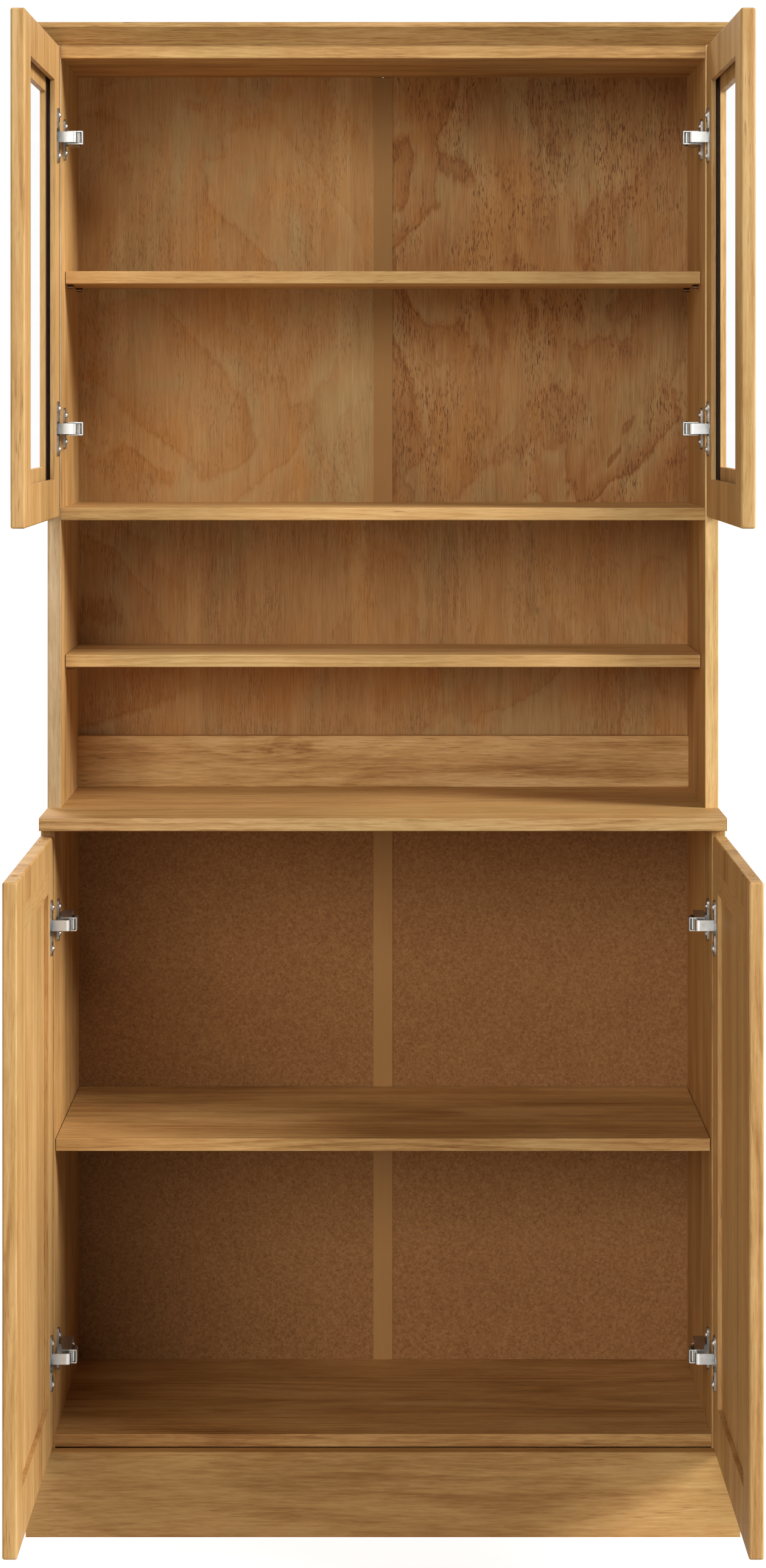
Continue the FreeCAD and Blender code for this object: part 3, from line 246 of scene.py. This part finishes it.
def veneer_group():
    """Peeled veneer: olive and orange patches, ragged growth edges, pale streaks and short dark ticks.

    Tone makes it lighter, Figure is how strongly the growth edges show, and Ticks the dark ticks.
    """
    tree, net, given, out = new_group("peeled_veneer", [
        ("Vector", VECTOR, None), ("Tone", FLOAT, 0.0), ("Figure", FLOAT, 1.0), ("Ticks", FLOAT, 1.0)],
        EFFECTS)
    place = given["Vector"]
    # Growth rings cut lengthways: contours of a slow field, ragged at a fine scale
    field = net.noise(place, (3.4, 3.4, 2.6), 3.0, 0.48, 0.9)
    ragged = net.noise(place, (120.0, 120.0, 36.0), 5.0, 0.7)
    x, _, _ = net.parts(place)
    climb = net.math("MULTIPLY_ADD", x, VENEER_SLOPE, net.math("MULTIPLY", field, VENEER_CONTOURS))
    climb = net.math("MULTIPLY_ADD", ragged, VENEER_RAGS, climb)
    phase = net.math("FRACT", climb)
    late = net.math("MULTIPLY", net.band(phase, 0.30, 0.90), net.band(phase, 1.0, 0.93))
    early = net.math("MULTIPLY", net.band(phase, 0.0, 0.08), net.band(phase, 0.42, 0.10))
    calm = net.noise(place, (2.3, 2.3, 1.7), 2.0, 0.5)
    strength = net.math("MULTIPLY", net.band(calm, 0.36, 0.60, 0.15, 1.0), given["Figure"])
    line = net.math("MULTIPLY", net.band(phase, 0.86, 0.93), net.band(phase, 1.0, 0.95))
    late = net.math("MULTIPLY", late, strength)
    early = net.math("MULTIPLY", early, strength)
    line = net.math("MULTIPLY", line, strength)
    # Light and dark, from broad patches to fine fibres
    patches = net.noise(place, (8.0, 8.0, 4.5), 4.0, 0.6, 0.6)
    broad = net.noise(place, (3.0, 3.0, 1.1), 2.0, 0.5)
    pale = net.band(net.noise(place, (16.0, 16.0, 1.3), 2.0, 0.5), 0.60, 0.72)
    streaks = net.noise(place, (95.0, 95.0, 4.0), 4.0, 0.62, 0.3)
    fibres = net.noise(place, (640.0, 640.0, 24.0), 3.0, 0.65)
    tone = net.layered(net.math("ADD", 0.5, given["Tone"]), (
        (late, 0.3, -0.10), (early, 0.1, 0.10), (line, 0.1, -0.16), (patches, 0.5, 0.24),
        (broad, 0.5, 0.24), (pale, 0.1, 0.16), (streaks, 0.5, 0.38), (fibres, 0.5, 0.60)))
    color = net.ramp(tone, [(0.0, (0.185, 0.066, 0.019)), (0.28, (0.335, 0.150, 0.047)),
                            (0.5, (0.465, 0.245, 0.088)), (0.74, (0.575, 0.340, 0.138)),
                            (1.0, (0.69, 0.46, 0.23))])
    # Olive and orange patches that are equally light
    hue = net.noise(place, (9.0, 9.0, 4.6), 4.0, 0.6, 0.9)
    hue = net.math("MULTIPLY_ADD", late, -0.12, hue)
    hue = net.math("MULTIPLY_ADD", early, 0.10, hue)
    color = net.mix(net.band(hue, 0.48, 0.64), color, (0.93, 1.05, 1.12), "MULTIPLY")
    color = net.mix(net.band(hue, 0.50, 0.34), color, (1.02, 0.93, 0.78), "MULTIPLY")
    mottle = net.band(net.noise(place, (34.0, 34.0, 11.0), 4.0, 0.65, 0.5), 0.44, 0.64)
    color = net.mix(net.math("MULTIPLY", mottle, 0.4), color, (0.92, 0.86, 0.76), "MULTIPLY")
    # Short dark ticks, in groups
    tick = net.noise(place, (950.0, 950.0, 110.0), 1.0, 0.5)
    gate = net.noise(place, (15.0, 15.0, 7.0), 4.0, 0.6, 0.5)
    gate = net.math("MULTIPLY_ADD", late, 0.10, gate)
    tick = net.math("MULTIPLY", net.band(tick, 0.55, 0.66), net.band(gate, 0.42, 0.60))
    tick = net.math("MULTIPLY", tick, given["Ticks"])
    color = net.mix(net.math("MULTIPLY", tick, 0.70), color, (0.125, 0.040, 0.012))
    net.put(out["Color"], color)
    net.put(out["Roughness"], net.math("MULTIPLY_ADD", fibres, 0.2, 0.5))
    relief = net.math("MULTIPLY_ADD", fibres, 0.5, net.math("MULTIPLY", streaks, 0.5))
    net.put(out["Height"], net.math("MULTIPLY_ADD", tick, -0.7, relief))
    return tree


def hardboard_group():
    """Pressed fibre board: even brown with fine light and dark flecks."""
    tree, net, given, out = new_group("fibre_board", [("Vector", VECTOR, None), ("Tone", FLOAT, 0.0)],
                                      EFFECTS)
    place = given["Vector"]
    fine = net.noise(place, (620.0, 620.0, 620.0), 3.0, 0.65)
    flecks = net.noise(place, (260.0, 260.0, 260.0), 2.0, 0.6)
    clouds = net.noise(place, (14.0, 14.0, 14.0), 4.0, 0.6)
    tone = net.layered(net.math("ADD", 0.5, given["Tone"]), (
        (fine, 0.5, 0.85), (flecks, 0.5, 0.65), (clouds, 0.5, 0.15)))
    color = net.ramp(tone, [(0.0, (0.13, 0.052, 0.017)), (0.35, (0.265, 0.120, 0.040)),
                            (0.62, (0.37, 0.185, 0.069)), (1.0, (0.52, 0.31, 0.14))])
    net.put(out["Color"], color)
    net.put(out["Roughness"], net.math("MULTIPLY_ADD", fine, 0.15, 0.6))
    net.put(out["Height"], net.math("MULTIPLY_ADD", flecks, 0.6, fine))
    return tree


def metal_group():
    """Bright pressed metal: faint cloudy wear and very fine rolling lines along the vector's Z."""
    tree, net, given, out = new_group("bright_metal", [("Vector", VECTOR, None), ("Worn", FLOAT, 0.5)],
                                      [("Shade", FLOAT), ("Roughness", FLOAT), ("Height", FLOAT)])
    place = given["Vector"]
    lines = net.noise(place, (1500.0, 1500.0, 60.0), 3.0, 0.6)
    clouds = net.noise(place, (180.0, 180.0, 180.0), 3.0, 0.6)
    worn = net.math("MULTIPLY", net.math("SUBTRACT", clouds, 0.5), given["Worn"])
    net.put(out["Shade"], net.math("ADD", 0.5, worn, clamp=True))
    rough = net.math("MULTIPLY_ADD", worn, 0.35, 0.34)
    net.put(out["Roughness"], net.math("MULTIPLY_ADD", net.math("SUBTRACT", lines, 0.5), 0.10, rough))
    net.put(out["Height"], net.math("MULTIPLY_ADD", lines, 0.5, clouds))
    return tree


# Where the masks below go from none to all, in metres: behind a front edge with painted light, about a
# band's top, beside a groove with painted shade and inside its mouth
EDGE_FADE = (0.0034, 0.0014)
BAND_FADE = (0.0006, -0.0006)
GROOVE_FADE = (0.0009, 0.0005)
MOUTH_FADE = (0.0003, 0.0012)


def front_edge_group():
    """A mask that is one on a board's front edge and nought behind it, for the edge's painted light; Front
    is where the board starts.
    """
    tree, net, given, out = new_group("front_edge", [("Vector", VECTOR, None), ("Front", FLOAT, 0.0)],
                                      [("Mask", FLOAT)])
    _, y, _ = net.parts(given["Vector"])
    behind = net.math("SUBTRACT", y, given["Front"])
    net.put(out["Mask"], net.band(behind, *EDGE_FADE))
    return tree


def low_band_group():
    """A mask that is one below the height Top and nought above it."""
    tree, net, given, out = new_group("low_band", [("Vector", VECTOR, None), ("Top", FLOAT, 0.0)],
                                      [("Mask", FLOAT)])
    _, _, z = net.parts(given["Vector"])
    net.put(out["Mask"], net.band(net.math("SUBTRACT", z, given["Top"]), *BAND_FADE))
    return tree


def groove_group():
    """A mask that is one inside a groove along Z, where shade is painted.

    Across is the groove's middle, Half its half width and Lip the place of its mouth.
    """
    tree, net, given, out = new_group("groove", [
        ("Vector", VECTOR, None), ("Across", FLOAT, 0.0), ("Half", FLOAT, 0.002), ("Lip", FLOAT, 0.0)],
        [("Mask", FLOAT)])
    x, y, _ = net.parts(given["Vector"])
    aside = net.math("ABSOLUTE", net.math("SUBTRACT", x, given["Across"]))
    aside = net.math("SUBTRACT", aside, given["Half"])
    depth = net.math("SUBTRACT", y, given["Lip"])
    net.put(out["Mask"], net.math("MULTIPLY", net.band(aside, *GROOVE_FADE),
                                  net.band(depth, *MOUTH_FADE)))
    return tree


PINE = pine_group()
VENEER = veneer_group()
HARDBOARD = hardboard_group()
METAL = metal_group()
FRONT_EDGE = front_edge_group()
GROOVE = groove_group()
LOW_BAND = low_band_group()


# ---------------------------------------------------------------- materials

# How the coordinates turn to bring a board's own direction to Z
TURNS = {"Z": (0.0, 0.0, 0.0), "X": (0.0, math.radians(90), 0.0), "Y": (math.radians(90), 0.0, 0.0)}
# Painted shade: the colour inside the glass grooves of the upper hinge stiles, where their shade falls
GROOVE_PAINTED_SHADE = (0.035, 0.015, 0.006)

# The share of the glass that is plainly clear: seen face on, and at its most
GLASS_FACE_ON = 0.86
GLASS_MOST = 0.985

# The band at the foot of the lower doors' top rails, where the grain lies along the rail
FOOT_HEIGHT = 0.025
FOOT_DIALS = {"Tone": 0.07, "Rings": 0.2, "Stripes": 0.4, "Patches": 0.5}


def start_material(name, grain, shift):
    """A new material with its shader, and object coordinates turned so that the grain lies along Z.

    The last two values are the turned and shifted coordinates and the plain ones.
    """
    material = bpy.data.materials.new(name)
    material.use_nodes = True
    net = Net(material.node_tree)
    shader = material.node_tree.nodes["Principled BSDF"]
    whole = net.add("ShaderNodeTexCoord").outputs["Object"]
    mapping = net.add("ShaderNodeMapping", {"Vector": whole, "Rotation": TURNS[grain], "Location": shift})
    return material, net, shader, mapping.outputs["Vector"], whole


def finish_surface(net, shader, color, effect, strength, relief):
    """Give the shader its colour, and an effect's roughness and height; relief is the height in metres."""
    net.put(shader.inputs["Base Color"], color)
    net.put(shader.inputs["Roughness"], effect["Roughness"])
    bump = net.add("ShaderNodeBump", {"Height": effect["Height"], "Strength": strength,
                                      "Distance": relief})
    net.put(shader.inputs["Normal"], bump.outputs["Normal"])


def wood(name, group, grain, shift, dials, relief=0.00012, specular=0.15, tint=None, edge=None,
         groove=None, foot=None):
    """A wood material from one of the effect groups; dials are the group's own inputs.

    edge is where a front edge starts and the tint of painted light that it takes, groove the place of a
    glass groove painted dark as shade, and foot the height below which a rail's grain lies along the rail.
    """
    material, net, shader, place, whole = start_material(name, grain, shift)
    effect = net.effect(group, place, dials)
    color = effect["Color"]
    if tint:
        color = net.mix(1.0, color, tint, "MULTIPLY")
    if foot:
        along = net.add("ShaderNodeMapping", {"Vector": whole, "Rotation": TURNS["Y"]}).outputs["Vector"]
        below = net.effect(LOW_BAND, whole, {"Top": foot})["Mask"]
        color = net.mix(below, color, net.effect(group, along, FOOT_DIALS)["Color"])
    # Painted light: the front edge takes a tint that stands in for how the lamps light it
    if edge:
        start, edge_light_tint = edge
        front = net.effect(FRONT_EDGE, whole, {"Front": start})["Mask"]
        color = net.mix(front, color, net.mix(1.0, color, edge_light_tint, "MULTIPLY"))
    # Painted shade: the inside of the glass groove is coloured near black
    if groove:
        across, half, lip = groove
        inside = net.effect(GROOVE, whole, {"Across": across, "Half": half, "Lip": lip})["Mask"]
        color = net.mix(inside, color, GROOVE_PAINTED_SHADE)
    finish_surface(net, shader, color, effect, strength=0.5, relief=relief)
    shader.inputs["Specular IOR Level"].default_value = specular
    return material


def metal(name, base, bright, worn):
    """A plated metal whose colour goes from base to bright."""
    material, net, shader, place, _ = start_material(name, "Z", (0.3, 0.1, 0.2))
    effect = net.effect(METAL, place, {"Worn": worn})
    color = net.mix(effect["Shade"], base, bright)
    finish_surface(net, shader, color, effect, strength=0.4, relief=0.00003)
    shader.inputs["Metallic"].default_value = 1.0
    return material


def glass_material():
    """Thin clear glass with a faint waviness, which lets the light through."""
    material, net, shader, place, _ = start_material("clear_glass", "Z", (0.0, 0.0, 0.0))
    shader.inputs["Base Color"].default_value = (0.97, 0.985, 0.975, 1.0)
    shader.inputs["Transmission Weight"].default_value = 1.0
    shader.inputs["IOR"].default_value = 1.5
    haze = net.noise(place, (9.0, 9.0, 9.0), 2.0, 0.5)
    net.put(shader.inputs["Roughness"], net.math("MULTIPLY", haze, 0.01))
    bump = net.add("ShaderNodeBump", {"Height": net.noise(place, (5.0, 5.0, 5.0), 1.0, 0.5),
                                      "Strength": 0.05, "Distance": 0.0005})
    net.put(shader.inputs["Normal"], bump.outputs["Normal"])
    # It shines most where it is seen face on, and light on its way to the wood passes nearly unchanged
    clear = net.add("ShaderNodeBsdfTransparent").outputs["BSDF"]
    path = net.add("ShaderNodeLightPath").outputs
    soft = net.math("ADD", path["Is Shadow Ray"], path["Is Diffuse Ray"], clamp=True)
    facing = net.add("ShaderNodeLayerWeight", {"Blend": 0.5}).outputs["Facing"]
    share = net.math("MAXIMUM", net.band(facing, 0.3, 0.85, GLASS_FACE_ON, GLASS_MOST),
                     net.math("MULTIPLY", soft, GLASS_MOST))
    both = net.add("ShaderNodeMixShader", {"Fac": share})
    net.put(both.inputs[1], shader.outputs["BSDF"])
    net.put(both.inputs[2], clear)
    net.put(material.node_tree.nodes["Material Output"].inputs["Surface"], both.outputs["Shader"])
    return material


def dress(node, material):
    """Give a CAD node its material."""
    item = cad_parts[node]
    item.data.materials.clear()
    item.data.materials.append(material)


# ---------------------------------------------------------------- boards

# grain is the way the board runs, distance and turn say where its tree's heart lies from its middle, slide
# is a slide along the grain, and dials are the pine group's own inputs
Board = namedtuple("Board", "grain distance turn slide dials")

BOARDS = {
    # Painted shade: the darker Tone of both base sides stands in for the shade on their inner faces inside
    # the cupboard
    "base_side_left": Board("Z", 0.12, 20, 3.1, {"Tone": -0.10}),
    "base_side_right": Board("Z", 0.15, 170, 5.7, {"Tone": -0.06}),
    "base_bottom_panel": Board("X", 0.10, 8, 7.9, {"Tone": -0.07, "Patches": 1.2, "Stripes": 1.1,
                                                   "Pores": 1.2}),
    "base_shelf": Board("X", 0.14, 5, 1.3, {"Tone": -0.03, "Patches": 1.2, "Stripes": 1.4, "Pores": 1.2}),
    "countertop": Board("X", 0.22, 12, 2.2, {"Tone": -0.03, "Stripes": 0.8, "Patches": 0.7, "Pores": 1.3}),
    "plinth_front": Board("X", 0.13, 80, 4.4, {"Tone": -0.10, "Stripes": 0.45, "Rings": 0.5}),
    "plinth_left": Board("Y", 0.13, 80, 4.9, {}),
    "plinth_right": Board("Y", 0.12, 80, 6.3, {}),
    "hutch_side_left": Board("Z", 0.14, 15, 8.6, {}),
    "hutch_side_right": Board("Z", 0.16, 175, 9.9, {}),
    "hutch_top_panel": Board("X", 0.12, 6, 10.4, {"Tone": -0.14}),
    "hutch_mid_shelf": Board("X", 0.15, 9, 11.8, {"Tone": 0.12}),
    "hutch_upper_shelf": Board("X", 0.13, 4, 12.5, {"Tone": 0.05}),
    "hutch_open_shelf": Board("X", 0.17, 7, 13.6, {"Tone": 0.13}),
    "hutch_back_rail": Board("X", 0.11, 85, 14.7, {"Tone": 0.04, "Patches": 0.9, "Stripes": 1.6,
                                                   "Pores": 1.5, "Olive": 0.35}),
    "crown_front": Board("X", 0.2, 40, 15.2, {"Tone": -0.05, "Pores": 1.7, "Patches": 0.7}),
    "crown_left": Board("Y", 0.2, 40, 16.1, {}),
    "crown_right": Board("Y", 0.2, 40, 17.7, {}),
}

# Doors, each with the slide of its frame, the frame's pieces with each one's turn and further slide, and
# the pieces that are lighter or darker than the rest
DOORS = {"upper_left": 18.0, "upper_right": 21.0, "lower_left": 24.0, "lower_right": 27.0}
DOOR_FRAME = (("hinge_stile", 60, 0.4), ("free_stile", 110, 0.9), ("top_rail", 75, 1.3),
              ("bottom_rail", 95, 1.8))
DOOR_TONES = {"upper_left_free_stile": 0.05, "upper_right_free_stile": 0.09, "lower_left_free_stile": -0.05}
DOOR_DIALS = {"Stripes": 1.25, "Patches": 0.6, "Olive": 0.7}

for door, door_slide in DOORS.items():
    for piece, turn, lift in DOOR_FRAME:
        node = f"{door}_{piece}"
        BOARDS[node] = Board("Z", 0.14, turn, door_slide + lift, {
            **DOOR_DIALS, "Pores": 1.1, "Staves": 0.8, "Tone": DOOR_TONES.get(node, 0.0)})
for door, panel_slide in (("lower_left", 31.0), ("lower_right", 33.5)):
    BOARDS[f"{door}_panel"] = Board("Z", 0.11, 80, panel_slide, {**DOOR_DIALS, "Tone": 0.05, "Staves": 1.0})

# Painted light: tints that stand in for how the lamps light the front edges, three lighter and two cooler
# than their boards' faces; and how far back such an edge may lie
EDGE_LIGHT_TINTS = {
    "hutch_side_left": (0.92, 1.05, 1.45),
    "countertop": (0.94, 1.0, 1.12),
    "hutch_top_panel": (1.27, 1.34, 1.43),
    "hutch_side_right": (1.38, 1.60, 1.86),
    # Painted light: the inner half of this stile's edge, shaded by the door's outer lip, is tinted as if
    # lit
    "upper_right_hinge_stile": (1.40, 1.52, 1.7),
}
EDGE_STEPS = {"upper_right_hinge_stile": 0.009}
# Knots: across, height and size on the front of a board that runs across
KNOTS = {"hutch_back_rail": (-0.127, 0.892, 0.020)}


def heart(node, board):
    """The shift that brings the heart of the board's tree to the middle of the rings."""
    low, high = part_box(node)
    middle = (low + high) / 2
    across = {"Z": (middle.x, middle.y), "X": (middle.z, middle.y), "Y": (middle.x, -middle.z)}[board.grain]
    angle = math.radians(board.turn)
    return (board.distance * math.cos(angle) - across[0], board.distance * math.sin(angle) - across[1],
            board.slide)


def dress_board(node, board):
    """Give a board its pine, with the painted edge light, knot, painted groove shade or rail foot that
    belongs to its place.
    """
    shift = heart(node, board)
    dials = board.dials
    edge = groove = foot = None
    # Painted light goes on the listed front edges
    if node in EDGE_LIGHT_TINTS:
        edge = (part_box(node)[0].y + EDGE_STEPS.get(node, 0.0), EDGE_LIGHT_TINTS[node])
    if node in KNOTS:
        x, z, size = KNOTS[node]
        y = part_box(node)[0].y
        dials = {**dials, "Knot": (z + shift[0], y + shift[1], shift[2] - x), "Knot Size": size}
    # Painted shade goes inside the glass groove of each upper hinge stile
    if node.startswith("upper") and node.endswith("hinge_stile"):
        low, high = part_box(node.replace("hinge_stile", "glass"))
        groove = ((low.x + high.x) / 2, (high.x - low.x) / 2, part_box(node)[0].y)
    if node.startswith("lower") and node.endswith("top_rail"):
        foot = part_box(node)[0].z + FOOT_HEIGHT
    dress(node, wood(f"pine_{node}", PINE, board.grain, shift, dials, edge=edge, groove=groove, foot=foot))


for node, board in BOARDS.items():
    dress_board(node, board)


# ---------------------------------------------------------------- sheets, strips and dowels

VENEERS = {
    "hutch_back_left": ((0.0, 0.0, 0.0), {"Tone": 0.08, "Figure": 0.42, "Ticks": 0.5}),
    "hutch_back_right": ((1.7, 0.4, 2.3), {"Tone": -0.12, "Figure": 0.85, "Ticks": 1.1}),
    "hutch_lower_back": ((3.1, 0.9, 5.2), {"Tone": -0.04, "Figure": 0.45, "Ticks": 0.55}),
}
for node, (shift, dials) in VENEERS.items():
    dress(node, wood(f"veneer_{node}", VENEER, "Z", shift, dials))

for node, shift in (("base_back_left", (0.2, 0.1, 0.4)), ("base_back_right", (1.2, 0.6, 2.4))):
    dress(node, wood(f"fibre_{node}", HARDBOARD, "Z", shift, {"Tone": -0.05}, relief=0.0001, specular=0.1))

STRIP_DIALS = {"Rings": 0.0, "Stripes": 0.12, "Patches": 0.1, "Pores": 0.15}
for node, shift in (("base_back_strip", (0.5, 0.1, 0.9)), ("hutch_back_strip", (0.8, 0.5, 3.9))):
    dress(node, wood(f"strip_{node}", PINE, "Z", shift, STRIP_DIALS, relief=0.00003,
                     tint=(0.72, 0.67, 0.62)))

dress("dowels", wood("beech_dowels", PINE, "X", (0.1, 0.2, 0.3),
                     {"Rings": 0.2, "Stripes": 0.5, "Tone": 0.15}, relief=0.00005, specular=0.3,
                     tint=(1.0, 1.06, 1.2)))

# ---------------------------------------------------------------- metal and glass

CUP_STEEL = metal("cup_steel", (0.20, 0.20, 0.19), (0.46, 0.46, 0.44), 1.2)
LINK_NICKEL = metal("link_nickel", (0.52, 0.525, 0.50), (0.74, 0.745, 0.72), 0.6)
SCREW_ZINC = metal("screw_zinc", (0.40, 0.40, 0.39), (0.72, 0.72, 0.70), 0.9)
ARM_NICKEL = metal("arm_nickel", (0.36, 0.36, 0.345), (0.60, 0.60, 0.58), 0.9)
PIN_STEEL = metal("pin_steel", (0.035, 0.033, 0.032), (0.11, 0.105, 0.10), 0.9)
# Painted shade: the shelf pegs are a dark brown so that they sink into the shade under the shelves
PEG_PAINTED_SHADE = metal("peg_painted_shade", (0.16, 0.09, 0.045), (0.28, 0.165, 0.085), 0.9)
HARDWARE = {
    "hinge_mounting_plates": CUP_STEEL, "hinge_arms": ARM_NICKEL, "hinge_links": LINK_NICKEL,
    "shelf_pegs": PEG_PAINTED_SHADE, "hinge_pins_and_rivets": PIN_STEEL, "hinge_screws": SCREW_ZINC,
}
for door in DOORS:
    HARDWARE[f"{door}_hinge_cups"] = CUP_STEEL
    HARDWARE[f"{door}_cup_screws"] = SCREW_ZINC
for node, finish in HARDWARE.items():
    dress(node, finish)

GLASS = glass_material()
dress("upper_left_glass", GLASS)
dress("upper_right_glass", GLASS)


# ---------------------------------------------------------------- floor, light and camera

FLOOR_REACH = 40.0
FLOOR_GREY = 0.40
# What the eye sees the floor and the room add, and what light the room sends to the object
FLOOR_GLOW = 0.88
ROOM_WHITE = 1.0
ROOM_LIGHT = 0.06

# Lamps: name, degrees to the right of the front, degrees up, strength, and width in degrees
SUNS = (
    ("key", 68.0, 28.0, 3.95, 24.0),
    ("fill", -13.0, 17.0, 1.34, 30.0),
    ("back", 205.0, 38.0, 1.9, 20.0),
)

# The camera looks level, and its frame is shifted down
CAMERA_PLACE = (0.0, -4.061, 1.3166)
CAMERA_SENSOR = 36.0
CAMERA_LENS = 79.91
CAMERA_SHIFT = -0.2407
CAMERA_REACH = 100.0


def seen_by_eye(net):
    """One for what is seen straight, in a reflection or through glass, and nought for light on its way."""
    path = net.add("ShaderNodeLightPath").outputs
    seen = net.math("ADD", path["Is Camera Ray"], path["Is Glossy Ray"])
    return net.math("ADD", seen, path["Is Transmission Ray"], clamp=True)


def floor_material():
    """White for the camera, and still dark where the object's shadow falls."""
    material = bpy.data.materials.new("studio_floor")
    material.use_nodes = True
    net = Net(material.node_tree)
    shader = material.node_tree.nodes["Principled BSDF"]
    shader.inputs["Base Color"].default_value = (FLOOR_GREY, FLOOR_GREY, FLOOR_GREY, 1.0)
    shader.inputs["Roughness"].default_value = 0.9
    shader.inputs["Specular IOR Level"].default_value = 0.0
    shader.inputs["Emission Color"].default_value = (1.0, 1.0, 1.0, 1.0)
    net.put(shader.inputs["Emission Strength"], net.math("MULTIPLY", seen_by_eye(net), FLOOR_GLOW))
    return material


def make_floor():
    """A large flat floor that the object stands on."""
    corners = [(x * FLOOR_REACH, y * FLOOR_REACH, 0.0) for x, y in ((-1, -1), (1, -1), (1, 1), (-1, 1))]
    mesh = bpy.data.meshes.new("floor")
    mesh.from_pydata(corners, [], [(0, 1, 2, 3)])
    floor = bpy.data.objects.new("floor", mesh)
    bpy.context.scene.collection.objects.link(floor)
    floor.data.materials.append(floor_material())


def make_world():
    """Plain white to the eye and in reflections, and a soft even light on the object."""
    world = bpy.data.worlds.new("studio")
    bpy.context.scene.world = world
    world.use_nodes = True
    net = Net(world.node_tree)
    back = world.node_tree.nodes["Background"]
    back.inputs["Color"].default_value = (1.0, 1.0, 1.0, 1.0)
    net.put(back.inputs["Strength"],
            net.math("MULTIPLY_ADD", seen_by_eye(net), ROOM_WHITE - ROOM_LIGHT, ROOM_LIGHT))


def make_sun(name, azimuth, height, strength, width):
    """A soft distant lamp, to the right of the front by azimuth and up by height, in degrees."""
    lamp = bpy.data.lights.new(name, "SUN")
    lamp.energy = strength
    lamp.angle = math.radians(width)
    item = bpy.data.objects.new(name, lamp)
    item.rotation_euler = (math.radians(90 - height), 0.0, math.radians(azimuth))
    bpy.context.scene.collection.objects.link(item)


def make_camera():
    """The camera, upright and level in front of the object."""
    data = bpy.data.cameras.new("camera")
    data.sensor_width = CAMERA_SENSOR
    data.lens = CAMERA_LENS
    data.shift_y = CAMERA_SHIFT
    data.clip_end = CAMERA_REACH
    camera = bpy.data.objects.new("camera", data)
    camera.location = CAMERA_PLACE
    camera.rotation_euler = (math.radians(90), 0.0, 0.0)
    bpy.context.scene.collection.objects.link(camera)
    bpy.context.scene.camera = camera


make_floor()
make_world()
for sun in SUNS:
    make_sun(*sun)
make_camera()
bpy.context.scene.view_settings.view_transform = "Standard"
